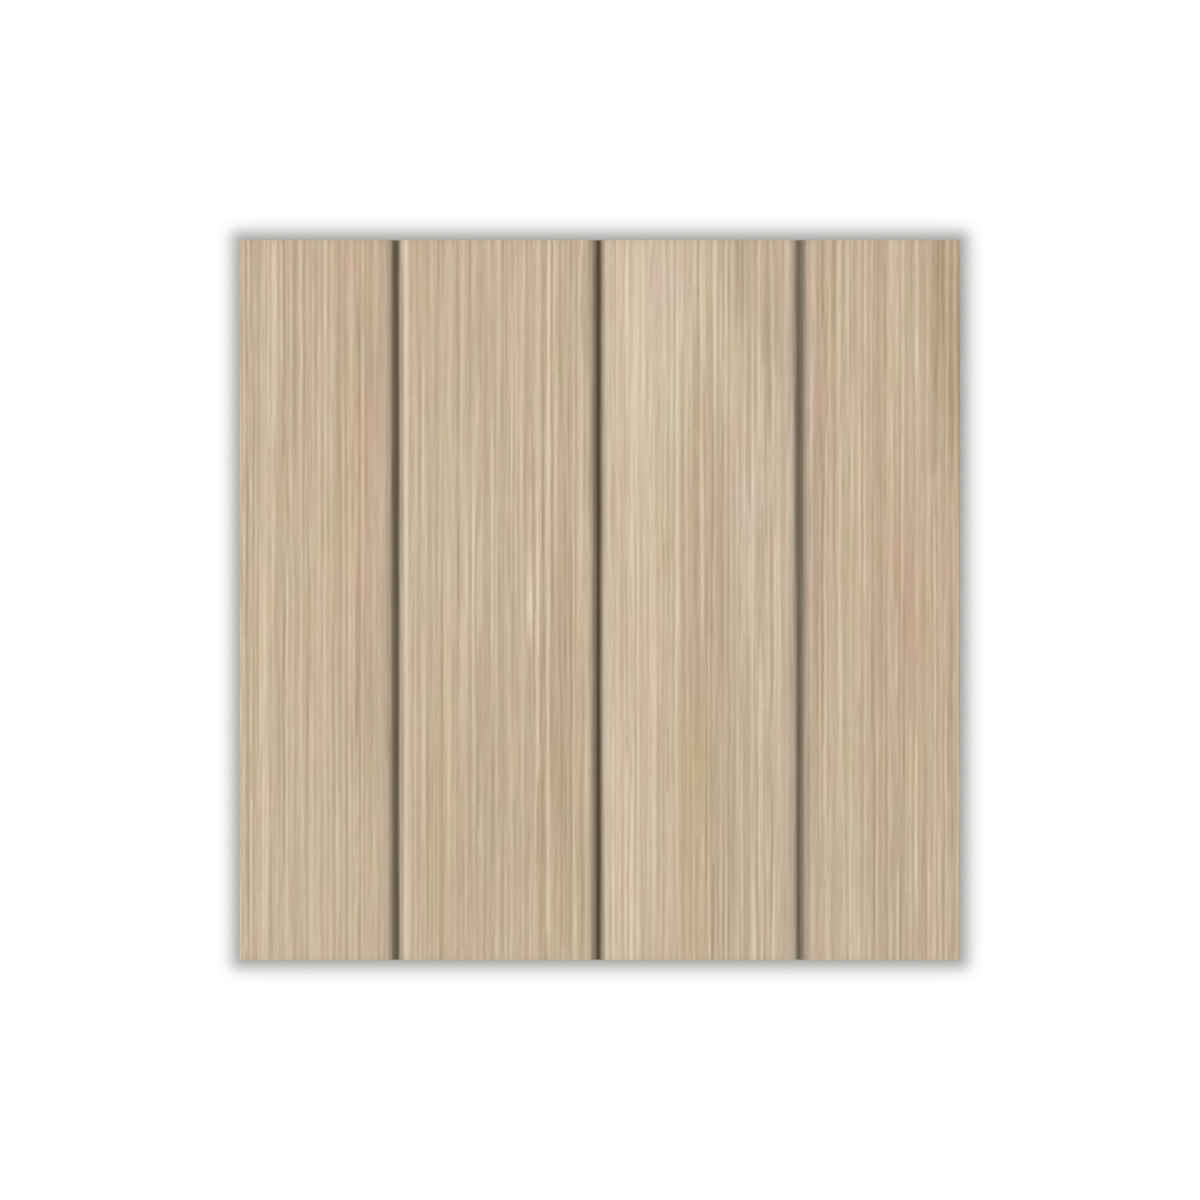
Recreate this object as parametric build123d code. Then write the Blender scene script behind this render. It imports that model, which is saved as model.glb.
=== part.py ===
from build123d import *
import math
import os

# Porcelain floor tile with a deck-board face, dry-pressed as one piece.
# The tile lies on its back: +Z points up out of the walking face and the boards run along Y.
# The origin is on the bedding plane, under the middle of the tile. All sizes are in millimetres.

# Tile blank
TILE_SIDE = 600.0
TILE_THICKNESS = 10.0
FACE_ARRIS = 0.8
BACK_BEVEL = 1.2

# Boards and the grooves between them
FIRST_GROOVE = 130.0
BOARD_PITCH = 168.0
GROOVE_FLOOR = 3.0
GROOVE_DEPTH = 2.0
GROOVE_DRAFT = 45.0
SHOULDER_RADIUS = 3.5
ROOT_RADIUS = 0.8
BOARD_LAND = 4.0

# Brushed grain of a board: hollow flutes between narrow flat crests
FLUTE_PITCH = 5.25
FLUTE_DEPTH = 0.3
FLUTE_SPREAD = 0.2
CREST_WIDTH = 1.0

# Keying relief of the back: square pockets between crossing ribs
POCKET_PITCH = 28.0
RIB_WIDTH = 6.0
POCKET_DEPTH = 0.8
POCKET_DRAFT = 30.0
BACK_MARGIN = 20.0

GOLDEN_ANGLE = math.pi * (3 - math.sqrt(5))
EDGE = TILE_SIDE / 2


def groove_middles():
    """X of each groove: the first from its distance to the left edge, the rest a board further on."""
    reach = TILE_SIDE - FIRST_GROOVE - groove_half_width() - BOARD_LAND
    count = 1 + math.floor(reach / BOARD_PITCH)
    return [FIRST_GROOVE - EDGE + index * BOARD_PITCH for index in range(count)]


def groove_half_width():
    """Half the groove's opening at the board's level, before the shoulders are rounded."""
    return GROOVE_FLOOR / 2 + GROOVE_DEPTH * math.tan(math.radians(GROOVE_DRAFT))


def groove_line(middle):
    """The groove's outline from the land on its left to the land on its right."""
    half = groove_half_width()
    floor = TILE_THICKNESS - GROOVE_DEPTH
    points = [
        (middle - half - BOARD_LAND, TILE_THICKNESS),
        (middle - half, TILE_THICKNESS),
        (middle - GROOVE_FLOOR / 2, floor),
        (middle + GROOVE_FLOOR / 2, floor),
        (middle + half, TILE_THICKNESS),
        (middle + half + BOARD_LAND, TILE_THICKNESS),
    ]
    return FilletPolyline(*points, radius=[SHOULDER_RADIUS, ROOT_RADIUS, ROOT_RADIUS, SHOULDER_RADIUS])


def flute_ends(start, stop, board):
    """X where each flute of a board begins and ends, with widths that vary by the golden angle."""
    count = max(1, round((stop - start) / FLUTE_PITCH))
    shares = [1 + FLUTE_SPREAD * math.sin(GOLDEN_ANGLE * (index + 1) * (board + 1)) for index in range(count)]
    unit = (stop - start) / sum(shares)
    ends = [start + unit * sum(shares[:index]) for index in range(count + 1)]
    return list(zip(ends[:-1], ends[1:]))


def flute_lines(start, stop, board):
    """The brushed face of one board: a hollow arc for each flute and half a crest on either side of it."""
    lines = []
    for left, right in flute_ends(start, stop, board):
        depth = FLUTE_DEPTH * (right - left) / FLUTE_PITCH
        begin = (left + CREST_WIDTH / 2, TILE_THICKNESS)
        bottom = ((left + right) / 2, TILE_THICKNESS - depth)
        end = (right - CREST_WIDTH / 2, TILE_THICKNESS)
        lines += [Line((left, TILE_THICKNESS), begin), ThreePointArc(begin, bottom, end)]
        lines += [Line(end, (right, TILE_THICKNESS))]
    return lines


def pressed_section():
    """Section across the boards, from the flat back up to the pressed face."""
    middles = groove_middles()
    reach = groove_half_width() + BOARD_LAND
    starts = [BOARD_LAND - EDGE] + [middle + reach for middle in middles]
    stops = [middle - reach for middle in middles] + [EDGE - BOARD_LAND]
    lines = [Polyline((-EDGE, 0), (-EDGE, TILE_THICKNESS), (starts[0], TILE_THICKNESS))]
    for board, (start, stop) in enumerate(zip(starts, stops)):
        lines += flute_lines(start, stop, board)
    lines += [groove_line(middle) for middle in middles]
    lines += [Polyline((stops[-1], TILE_THICKNESS), (EDGE, TILE_THICKNESS), (EDGE, 0), (-EDGE, 0))]
    return Plane.XZ * make_face(lines)


def tile_blank():
    """The ground outline of the tile, with an arris round the face and a bevel round the back."""
    blank = Box(TILE_SIDE, TILE_SIDE, TILE_THICKNESS, align=(Align.CENTER, Align.CENTER, Align.MIN))
    blank = chamfer(blank.faces().sort_by(Axis.Z)[-1].edges(), FACE_ARRIS)
    return chamfer(blank.faces().sort_by(Axis.Z)[0].edges(), BACK_BEVEL)


def back_pockets():
    """The shallow drafted pockets that let the bedding adhesive key into the back."""
    field = TILE_SIDE - 2 * BACK_MARGIN + RIB_WIDTH
    count = max(1, round(field / POCKET_PITCH))
    pitch = field / count
    mouth = Rectangle(pitch - RIB_WIDTH, pitch - RIB_WIDTH)
    pocket = extrude(mouth, POCKET_DEPTH, taper=POCKET_DRAFT)
    return [place * pocket for place in GridLocations(pitch, pitch, count, count)]


def porcelain_tile():
    """The whole tile: the boards carried along Y, ground to its outline and keyed underneath."""
    boards = extrude(pressed_section(), TILE_SIDE / 2, both=True)
    return (tile_blank() & boards) - back_pockets()


os.makedirs("parts", exist_ok=True)
export_step(porcelain_tile(), "parts/porcelain_tile.step")
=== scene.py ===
import logging
import math
from collections.abc import Mapping, Sequence
from dataclasses import dataclass
from enum import Enum
from typing import Any

import bpy
import numpy as np
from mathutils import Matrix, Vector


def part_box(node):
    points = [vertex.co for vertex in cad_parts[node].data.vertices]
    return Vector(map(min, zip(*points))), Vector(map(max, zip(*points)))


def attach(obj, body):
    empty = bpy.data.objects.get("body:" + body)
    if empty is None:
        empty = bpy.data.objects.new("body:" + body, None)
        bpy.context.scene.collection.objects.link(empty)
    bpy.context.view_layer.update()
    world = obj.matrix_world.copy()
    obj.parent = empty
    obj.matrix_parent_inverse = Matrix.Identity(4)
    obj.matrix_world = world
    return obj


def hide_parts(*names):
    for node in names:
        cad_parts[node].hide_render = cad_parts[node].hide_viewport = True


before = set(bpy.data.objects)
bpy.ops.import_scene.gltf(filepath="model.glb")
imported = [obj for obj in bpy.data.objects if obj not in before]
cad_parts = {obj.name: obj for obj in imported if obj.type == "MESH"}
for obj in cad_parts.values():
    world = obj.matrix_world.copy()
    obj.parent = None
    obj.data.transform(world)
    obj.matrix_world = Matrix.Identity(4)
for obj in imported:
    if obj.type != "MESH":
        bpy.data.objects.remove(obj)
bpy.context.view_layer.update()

# A square porcelain floor tile whose face is pressed and printed as brushed deck boards.
# All sizes are metres in the tile's own frame: +Z out of the walking face, +Y along the boards.

TILE_NODE = "porcelain_tile"
MILLIMETRE = 0.001
GOLDEN_ANGLE = math.pi * (3 - math.sqrt(5))

# Beside a groove, in millimetres: where the painted shadow wash starts to fall,
# and the width of the painted highlight line
SHADOW_WASH_KNEE = 4.0
HIGHLIGHT_WIDTH = 1.5

# Half length in millimetres of a patch of print that runs the whole board
WHOLE_BOARD = 900

# How far the noise moves on from board to board, so that no two boards carry the same print
STEP_ACROSS = 0.277
STEP_ALONG = 0.391
STEP_HUE = 0.5

# Straight lines are read from one row of noise that is long along the boards
LINE_ROW = 0.1
LINE_LENGTH = 1.0

# Waves to a metre below which the noise is taken as level
FEWEST_WAVES = 1e-6

# Mean of shader noise, which runs from 0 to 1
NOISE_MEAN = 0.5

# Numbers of a colour Mix node's sockets
MIX_SHARE, MIX_FIRST, MIX_SECOND, MIX_RESULT = 0, 6, 7, 2

Array = np.ndarray
Colour = tuple[float, float, float]
Range = tuple[float, float]
LOG = logging.getLogger("porcelain_tile")


def shade(red: float, green: float, blue: float) -> Colour:
    """Scene colour of a shade as a paint card gives it.

    Args:
        red: Red from 0 to 255, as a screen shows it.
        green: Green from 0 to 255.
        blue: Blue from 0 to 255.

    Returns:
        The same shade in linear light, from the usual screen curve.
    """
    card = np.array([red, green, blue]) / 255
    linear = np.where(card <= 0.04045, card / 12.92, ((card + 0.055) / 1.055) ** 2.4)
    return tuple(float(channel) for channel in linear)


def bell(distance: Array) -> Array:
    """A bump of height 1 that falls to six tenths at distance 1: exp of minus half the distance squared."""
    return np.exp(-0.5 * distance * distance)


class Band(Enum):
    """How the noise is spread over wavelengths across the boards."""

    STREAK = "one band of wavelengths"
    PATCH = "all wavelengths above one"


@dataclass(frozen=True)
class GrainNoise:
    """Seeded noise drawn out along the boards, on a square that repeats.

    Attributes:
        seed: Start of the random draw.
        across: Main wavelength across the boards, or the shortest one for patches.
        along: Length over which the noise stays alike along the boards.
        band: Whether the noise is streaks or soft patches.
        octaves: Width of the band of streaks, as the natural log of the wavelength.
        spread: Standard deviation of the noise about 0.
        span: Side of the repeating square.
        columns: Samples across the boards.
        rows: Samples along the boards.
    """

    seed: int
    across: float
    along: float
    band: Band = Band.STREAK
    octaves: float = 0.38
    spread: float = 1.0
    span: float = 1.28
    columns: int = 2048
    rows: int = 256

    def lattice(self) -> Array:
        """White noise whose spectrum is shaped by two curves, one for each direction.

        Across the boards the curve is a bell over the log of the wavelength for streaks, and a low pass for
        patches. Along them it is 1 over the root of 1 plus the squared ratio of length to wavelength.

        Returns:
            The field by row and column, with mean 0 and the asked spread.
        """
        white = np.random.default_rng(self.seed).standard_normal((self.rows, self.columns))
        waves_across = np.abs(np.fft.fftfreq(self.columns, self.span / self.columns))
        waves_along = np.fft.fftfreq(self.rows, self.span / self.rows)
        if self.band is Band.STREAK:
            across = bell(np.log(np.maximum(waves_across, FEWEST_WAVES) * self.across) / self.octaves)
        else:
            across = bell(waves_across * self.across)
        along = 1 / np.sqrt(1 + (2 * math.pi * waves_along * self.along) ** 2)
        shaped = np.fft.ifft2(np.fft.fft2(white) * along[:, None] * across[None, :]).real
        return self.spread * (shaped - shaped.mean()) / shaped.std()

    def at(self, x: Array, y: Array) -> Array:
        """Noise at places on the face, read between the four nearest samples.

        Args:
            x: Places across the boards.
            y: Places along the boards, of the same shape.

        Returns:
            The noise at each place.
        """
        lattice = self.lattice()
        column = np.mod(x / self.span, 1) * self.columns
        row = np.mod(y / self.span, 1) * self.rows
        left, low = np.floor(column).astype(int), np.floor(row).astype(int)
        right_share, high_share = column - left, row - low
        left, low = left % self.columns, low % self.rows
        right, high = (left + 1) % self.columns, (low + 1) % self.rows
        lower = lattice[low, left] * (1 - right_share) + lattice[low, right] * right_share
        upper = lattice[high, left] * (1 - right_share) + lattice[high, right] * right_share
        return lower * (1 - high_share) + upper * high_share


@dataclass(frozen=True)
class FluteLines:
    """Printed lines in register with the flutes, which come and go.

    Attributes:
        seed: Start of the random draw.
        flutes: How many flutes one line spans.
        weight: Strength of the lines in the grain.
        hold: Steady share of the lines beside the share that comes and goes.
        patch_width: Width over which the lines come and go together.
        patch_length: Length over which they do.
    """

    seed: int
    flutes: int
    weight: float = 0.41
    hold: float = 0.5
    patch_width: float = 10 * MILLIMETRE
    patch_length: float = 160 * MILLIMETRE

    def at(self, count: Array, x: Array, y: Array) -> Array:
        """Lightness of the lines: a cosine over the count of flutes, light on a crest, times slow noise.

        Args:
            count: Flutes from the board's edge to each place.
            x: Places across the boards, moved on from board to board.
            y: Places along the boards.

        Returns:
            The lines about 0, with the weight as their spread.
        """
        wave = math.sqrt(2) * np.cos(2 * math.pi * count / self.flutes)
        strength = GrainNoise(self.seed, self.patch_width, self.patch_length, Band.PATCH).at(x, y)
        return self.weight * wave * (self.hold + strength) / math.sqrt(1 + self.hold ** 2)


@dataclass(frozen=True)
class FreeLines:
    """Straight printed lines of two kinds that give way to each other along the boards.

    Attributes:
        seed: Start of three random draws: the two kinds and the way they change places.
        spacing: Main distance from line to line.
        weight: Strength of the lines in the grain.
        octaves: How far the distance varies, as its natural log.
        turn: Angle of the change for one spread of noise, in radians.
        patch_width: Width over which the lines change together.
        patch_length: Length over which they do.
    """

    seed: int
    spacing: float
    weight: float
    octaves: float = 0.25
    turn: float = 2.0
    patch_width: float = 12 * MILLIMETRE
    patch_length: float = 400 * MILLIMETRE

    def at(self, x: Array, y: Array) -> Array:
        """Lightness of the lines: the first kind times the cosine and the second times the sine of an angle.

        Args:
            x: Places across the boards, moved on from board to board.
            y: Places along the boards, moved on in the same way.

        Returns:
            The lines about 0, with the weight as their spread.
        """
        row = np.full_like(y, LINE_ROW)
        first = GrainNoise(self.seed, self.spacing, LINE_LENGTH, octaves=self.octaves).at(x, row)
        second = GrainNoise(self.seed + 1, self.spacing, LINE_LENGTH, octaves=self.octaves).at(x, row)
        change = GrainNoise(self.seed + 2, self.patch_width, self.patch_length, Band.PATCH, spread=self.turn)
        angle = change.at(x, y)
        return self.weight * (first * np.cos(angle) + second * np.sin(angle))


@dataclass(frozen=True)
class PaintedGrooveShade:
    """Painted shade of one groove and the painted highlight beside it, with lengths in millimetres.

    Attributes:
        core: Strength of the painted shade where it is darkest, from 0 to 1.
        place: How far right of the groove's middle it is darkest.
        left: Width of the core on the left.
        right: Width of the core on the right.
        fullness: Power of the core's fall on the right: 2 is a plain bell, more has a flatter top.
        wash: Strength of the softer painted shadow wash on the left.
        groove_shadow_reach: How far the painted shadow wash runs from the darkest place.
        highlight_place: Middle of the painted highlight line right of the groove, from the groove's middle.
        highlight_strength: Strength of that painted highlight.
    """

    core: float
    place: float
    left: float
    right: float
    fullness: float
    wash: float
    groove_shadow_reach: float
    highlight_place: float
    highlight_strength: float

    def strength(self, offset: Array) -> Array:
        """Painted shade at offsets from the groove's middle.

        On the right a core falls as exp of minus half its reach to the power of its fullness. On the left a
        bell falls from the same place, over a painted shadow wash, level to its knee and then falling evenly.

        Args:
            offset: Distances from the groove's middle in millimetres, below zero on the left.

        Returns:
            The painted shade from 0 to 1.
        """
        reach = np.abs(offset - self.place)
        right = self.core * np.exp(-0.5 * (reach / self.right) ** self.fullness)
        left = self.core * bell(reach / self.left)
        wash = self.wash * np.clip((self.groove_shadow_reach - reach) / (self.groove_shadow_reach - SHADOW_WASH_KNEE), 0, 1)
        return np.where(offset > self.place, right, left + wash * (1 - left))

    def line(self, offset: Array) -> Array:
        """Strength of the painted highlight line at offsets from the groove's middle, as a narrow bell."""
        return self.highlight_strength * bell((offset - self.highlight_place) / HIGHLIGHT_WIDTH)


class Quality(Enum):
    """What a patch of print changes, by the name of its number in the patch."""

    TONE = "tone"
    BLUSH = "blush"
    WARMTH = "warmth"


@dataclass(frozen=True)
class TonePatch:
    """A soft area or streak of the print with its own tone or hue, with lengths in millimetres.

    Attributes:
        x: Middle across the boards, from the tile's middle.
        y: Middle along the boards.
        width: Half width across.
        length: Half length along.
        tone: Lightness, in spreads of the grain.
        blush: Pink above zero, olive below.
        warmth: Yellow above zero, blue below.
        slant: Shift across for each length along.
    """

    x: float
    y: float
    width: float
    length: float
    tone: float = 0.0
    blush: float = 0.0
    warmth: float = 0.0
    slant: float = 0.0

    def amount(self, quality: Quality) -> float:
        """How much of one quality the patch adds at its middle."""
        return getattr(self, quality.value)

    def cover(self, x: Array, y: Array) -> Array:
        """Cover of the patch from 0 to 1: a bell across, slanted, times a bell along.

        Args:
            x: Places across the boards, in metres.
            y: Places along the boards, in metres.

        Returns:
            The cover at each place.
        """
        along = y / MILLIMETRE - self.y
        across = x / MILLIMETRE - self.x - self.slant * along
        return bell(across / self.width) * bell(along / self.length)


FIRST_BOARD = (
    # Pale outer edge with one bright line, and a cooler foot
    TonePatch(-290, 60, 20, 190, tone=0.45),
    TonePatch(-285, -20, 11, 100, tone=0.45),
    TonePatch(-272, 255, 1.4, 40, tone=2.2),
    TonePatch(-265, -240, 30, 60, tone=0.15, warmth=-1.2),
    # Darker strip beside the groove, with rust marks
    TonePatch(-192, 130, 14, 110, tone=-0.35, warmth=0.5),
    TonePatch(-196, 190, 10, 50, tone=-0.5),
    TonePatch(-200, -90, 14, 50, tone=-0.5),
    TonePatch(-200, 275, 14, 25, blush=2.6, warmth=1.0),
    TonePatch(-196, 140, 14, 35, blush=2.6, warmth=0.6),
    TonePatch(-208, 105, 7, 50, warmth=3.0),
    TonePatch(-196, 20, 14, 32, blush=2.8),
    # Olive areas, and a pink top corner
    TonePatch(-285, 235, 18, 35, blush=-1.4),
    TonePatch(-285, 45, 18, 16, blush=-1.4, warmth=-1.0),
    TonePatch(-285, -105, 18, 35, blush=-1.4, warmth=-0.4),
    TonePatch(-245, -205, 22, 45, blush=-1.4),
    TonePatch(-287, -235, 14, 35, blush=-1.4),
    TonePatch(-275, 297, 24, 7, blush=1.8),
)
SECOND_BOARD = (
    # Cool print beside the groove, then a dark and a light line
    TonePatch(-165, 0, 3, WHOLE_BOARD, blush=-2.6, warmth=-3.0),
    TonePatch(-159, 0, 1.4, WHOLE_BOARD, tone=-1.8),
    TonePatch(-155.5, 0, 1.2, WHOLE_BOARD, tone=1.4),
    # Light and dark areas, and one bright fleck
    TonePatch(-120, 230, 30, 70, tone=0.2),
    TonePatch(-90, 230, 7, 60, tone=-0.3),
    TonePatch(-95, 50, 35, 65, tone=0.35),
    TonePatch(-95, -180, 45, 110, tone=-0.35),
    TonePatch(-32, -80, 9, 150, tone=-0.7),
    TonePatch(-58, -2, 1.4, 16, tone=2.2),
    # Pink marks
    TonePatch(-155, 220, 6, 30, blush=1.5),
    TonePatch(-142, -40, 11, 18, blush=2.0),
    TonePatch(-150, -115, 6, 15, blush=1.5),
    TonePatch(-110, -252, 18, 15, blush=2.5),
    # Olive and cool areas
    TonePatch(-115, 50, 24, 48, blush=-1.5),
    TonePatch(-72, 25, 18, 35, blush=-1.3),
    TonePatch(-125, 60, 30, 130, warmth=-0.9),
    TonePatch(-72, 160, 18, 30, warmth=-1.0),
    # Yellow streaks
    TonePatch(-130, -65, 7, 28, warmth=2.0),
    TonePatch(-132, -200, 8, 60, warmth=3.0),
    TonePatch(-38, -160, 9, 18, blush=1.0, warmth=1.5),
    TonePatch(-30, -255, 16, 26, warmth=2.0),
)
THIRD_BOARD = (
    # Cool print beside both grooves, with a dark, a light and a pink line
    TonePatch(6, 0, 3, WHOLE_BOARD, tone=0.6, blush=-0.8, warmth=-2.0),
    TonePatch(10, 0, 1.2, WHOLE_BOARD, tone=-1.8),
    TonePatch(14, 0, 1.6, WHOLE_BOARD, tone=0.8),
    TonePatch(16, 60, 4, 200, blush=1.2),
    TonePatch(160, 0, 3, WHOLE_BOARD, tone=0.5, blush=-2.4, warmth=-2.8),
    # Pale left half, and a pale right side
    TonePatch(28, 0, 24, 600, tone=1.0, blush=-0.3, warmth=-0.6),
    TonePatch(45, 220, 30, 90, tone=0.7),
    TonePatch(66, -60, 10, 240, tone=0.25),
    TonePatch(135, -40, 16, 200, tone=0.85),
    # Dark heart, and a slanted dark and light wedge at the top
    TonePatch(92, 110, 10, 60, tone=-0.2),
    TonePatch(90, -20, 16, 90, tone=-0.6),
    TonePatch(101, -195, 18, 95, tone=-0.85, warmth=-0.8),
    TonePatch(132, 250, 15, 65, tone=-0.8, slant=-0.25),
    TonePatch(112, 165, 11, 110, tone=0.8, slant=-0.15),
    # Olive and blue areas
    TonePatch(55, 155, 28, 45, blush=-1.8),
    TonePatch(95, 230, 22, 35, blush=-1.5),
    TonePatch(55, 262, 14, 28, warmth=-3.0),
    TonePatch(125, 80, 12, 18, warmth=-3.5),
    TonePatch(130, -60, 18, 170, blush=-1.4, warmth=-1.4),
    TonePatch(136, -240, 18, 60, blush=-0.5, warmth=-1.5),
    # Rust, olive and amber marks down the heart
    TonePatch(85, 130, 7, 40, warmth=1.2),
    TonePatch(86, -30, 8, 70, blush=2.6, warmth=0.8),
    TonePatch(80, -125, 11, 30, blush=-1.4, warmth=3.6),
    TonePatch(76, -225, 11, 60, blush=1.8, warmth=3.6),
)
FOURTH_BOARD = (
    # Cool dark print beside the groove, then a light line
    TonePatch(173, 0, 3, WHOLE_BOARD, tone=0.3, blush=-1.0, warmth=-3.6),
    TonePatch(174, 0, 3, 600, tone=-0.7),
    TonePatch(178, 0, 2, WHOLE_BOARD, tone=-0.8),
    TonePatch(202, 0, 6, 600, tone=0.5),
    # Light and dark areas, and a dark rim that is painted shade along the right edge, away from the lamp
    TonePatch(186, 140, 6, 70, tone=-0.5),
    TonePatch(228, 0, 16, 150, tone=-0.4),
    TonePatch(276, 0, 20, 60, tone=-0.45),
    TonePatch(254, -170, 14, 90, tone=-0.3),
    TonePatch(258, 255, 10, 60, tone=0.5),
    TonePatch(297, -40, 2.5, 260, tone=-0.9),
    # Brown top corner
    TonePatch(294, 240, 16, 70, tone=-1.7, blush=2.4, warmth=2.2, slant=-0.12),
    TonePatch(300, 150, 7, 40, tone=-0.6, blush=1.0, warmth=2.0),
    # Rose marks
    TonePatch(186, 165, 8, 35, blush=2.2),
    TonePatch(186, 15, 8, 40, blush=2.2),
    TonePatch(265, 22, 30, 34, blush=2.2),
    TonePatch(268, -30, 20, 25, blush=1.8),
    TonePatch(283, -285, 14, 18, blush=1.5),
    # Olive streaks
    TonePatch(206, 240, 5, 45, blush=-1.8),
    TonePatch(205, 45, 6, 15, blush=-1.5),
    TonePatch(205, -150, 4, 120, blush=-1.5, warmth=0.6),
    TonePatch(222, -235, 20, 32, blush=-1.6),
    # Warm and cool areas
    TonePatch(195, 240, 8, 40, warmth=1.5),
    TonePatch(255, 20, 45, 100, warmth=0.7),
    TonePatch(255, -235, 45, 55, warmth=-1.3),
)


@dataclass(frozen=True)
class DeckFace:
    """The walking face: brushed boards parted by rounded grooves, as a sheet over the tile.

    The sheet runs over u across the boards and v along them, so a column of the sheet is a line of the grain.
    """

    side: float
    top: float
    arris: float = 0.8 * MILLIMETRE
    first_groove: float = 130 * MILLIMETRE
    board_pitch: float = 168 * MILLIMETRE
    grooves: int = 3
    groove_floor: float = 3 * MILLIMETRE
    groove_depth: float = 2 * MILLIMETRE
    groove_draft: float = math.radians(45)
    shoulder_radius: float = 3.5 * MILLIMETRE
    root_radius: float = 0.8 * MILLIMETRE
    board_land: float = 4 * MILLIMETRE

    # Flutes of the brushed grain, and how they fade along it
    flute_pitch: float = 5.25 * MILLIMETRE
    flute_depth: float = 0.3 * MILLIMETRE
    flute_spread: float = 0.2
    crest_width: float = 1.0 * MILLIMETRE
    land_flutes: int = 3
    fade: GrainNoise = GrainNoise(47, 12 * MILLIMETRE, 50 * MILLIMETRE, Band.PATCH, spread=0.18)
    fade_mean: float = 0.72
    fade_least: float = 0.25

    # Columns and rows of the sheet, and the shares of a land that the groove's and the rim's columns cover
    flute_columns: int = 7
    groove_columns: int = 33
    rim_columns: int = 4
    rows: int = 80
    land_cover: float = 0.9
    rim_start: float = 0.2

    # Print of the boards
    flute_lines: tuple[FluteLines, ...] = (FluteLines(5, 1), FluteLines(6, 2))
    free_lines: tuple[FreeLines, ...] = (
        FreeLines(11, 6.2 * MILLIMETRE, 0.48),
        FreeLines(15, 8.4 * MILLIMETRE, 0.44),
    )
    fine_lines: GrainNoise = GrainNoise(25, 4.5 * MILLIMETRE, 30 * MILLIMETRE, octaves=0.2, spread=0.15)
    soft_bands: GrainNoise = GrainNoise(27, 25 * MILLIMETRE, 120 * MILLIMETRE, octaves=0.5, spread=0.1)
    blush_noise: GrainNoise = GrainNoise(29, 30 * MILLIMETRE, 40 * MILLIMETRE, Band.PATCH, spread=0.6)
    warmth_noise: GrainNoise = GrainNoise(37, 30 * MILLIMETRE, 40 * MILLIMETRE, Band.PATCH, spread=0.6)
    board_tones: tuple[float, ...] = (-0.1, -0.1, -0.1, -0.2)
    board_contrasts: tuple[float, ...] = (1.06, 1.0, 0.94, 1.2)
    patches: tuple[TonePatch, ...] = FIRST_BOARD + SECOND_BOARD + THIRD_BOARD + FOURTH_BOARD

    # Painted shade and painted highlight of the grooves:
    # core, place, left, right, fullness, wash, shadow reach, highlight place, highlight strength
    painted_groove_shades: tuple[PaintedGrooveShade, ...] = (
        PaintedGrooveShade(0.81, 0.9, 2.3, 2.2, 2.6, 0.50, 11.5, 9.0, 0.72),
        PaintedGrooveShade(0.97, 0.4, 1.3, 3.2, 2.0, 0.48, 9.8, 8.9, 0.50),
        PaintedGrooveShade(0.75, 0.4, 2.2, 4.2, 3.2, 0.30, 10.8, 10.6, 0.15),
    )

    @property
    def edge(self) -> float:
        """Distance from the middle of the tile to the line where the arris starts."""
        return self.side / 2 - self.arris

    @property
    def groove_half(self) -> float:
        """Half the groove's opening before its shoulders are rounded."""
        return self.groove_floor / 2 + self.groove_depth * math.tan(self.groove_draft)

    def groove_middles(self) -> Array:
        """Middle of each groove across the boards, left to right."""
        return self.first_groove - self.side / 2 + self.board_pitch * np.arange(self.grooves)

    def board_ends(self) -> tuple[Array, Array]:
        """Where the flutes of each board start and stop, inside the plain land beside each groove.

        Returns:
            The starts and the stops, board by board.
        """
        reach = self.groove_half + self.board_land
        rim = np.array([self.side / 2 - self.board_land])
        return np.append(-rim, self.groove_middles() + reach), np.append(self.groove_middles() - reach, rim)

    def flute_edges(self, board: int) -> Array:
        """Borders of a board's flutes, whose widths are 1 plus the spread times a sine at golden-angle steps.

        Args:
            board: Number of the board, from the left.

        Returns:
            The borders, one more than there are flutes.
        """
        start, stop = (float(ends[board]) for ends in self.board_ends())
        count = max(1, round((stop - start) / self.flute_pitch))
        shares = 1 + self.flute_spread * np.sin(GOLDEN_ANGLE * (board + 1) * np.arange(1, count + 1))
        return start + (stop - start) * np.append(0, np.cumsum(shares)) / shares.sum()

    def columns(self) -> Array:
        """Places of the sheet's columns: a set for each flute, a closer set over each groove, and the rim.

        Returns:
            Every place across the boards once, in order.
        """
        steps = np.linspace(0, 1, self.flute_columns)
        sets = [np.array([-self.edge, self.edge])]
        for board in range(self.grooves + 1):
            borders = self.flute_edges(board)
            hollow = np.diff(borders) - self.crest_width
            sets.append((borders[:-1, None] + self.crest_width / 2 + hollow[:, None] * steps).ravel())
        reach = self.groove_half + self.land_cover * self.board_land
        over_groove = np.linspace(-reach, reach, self.groove_columns)
        sets.extend(middle + over_groove for middle in self.groove_middles())
        rim_steps = np.linspace(self.rim_start, self.land_cover, self.rim_columns)
        rim = rim_steps * (self.board_land - self.arris)
        sets.extend([self.edge - rim, rim - self.edge])
        return np.unique(np.concatenate(sets))

    def board_of(self, u: Array | float) -> Array:
        """Number of the board that each place lies on."""
        return np.searchsorted(self.groove_middles(), u)

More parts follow.
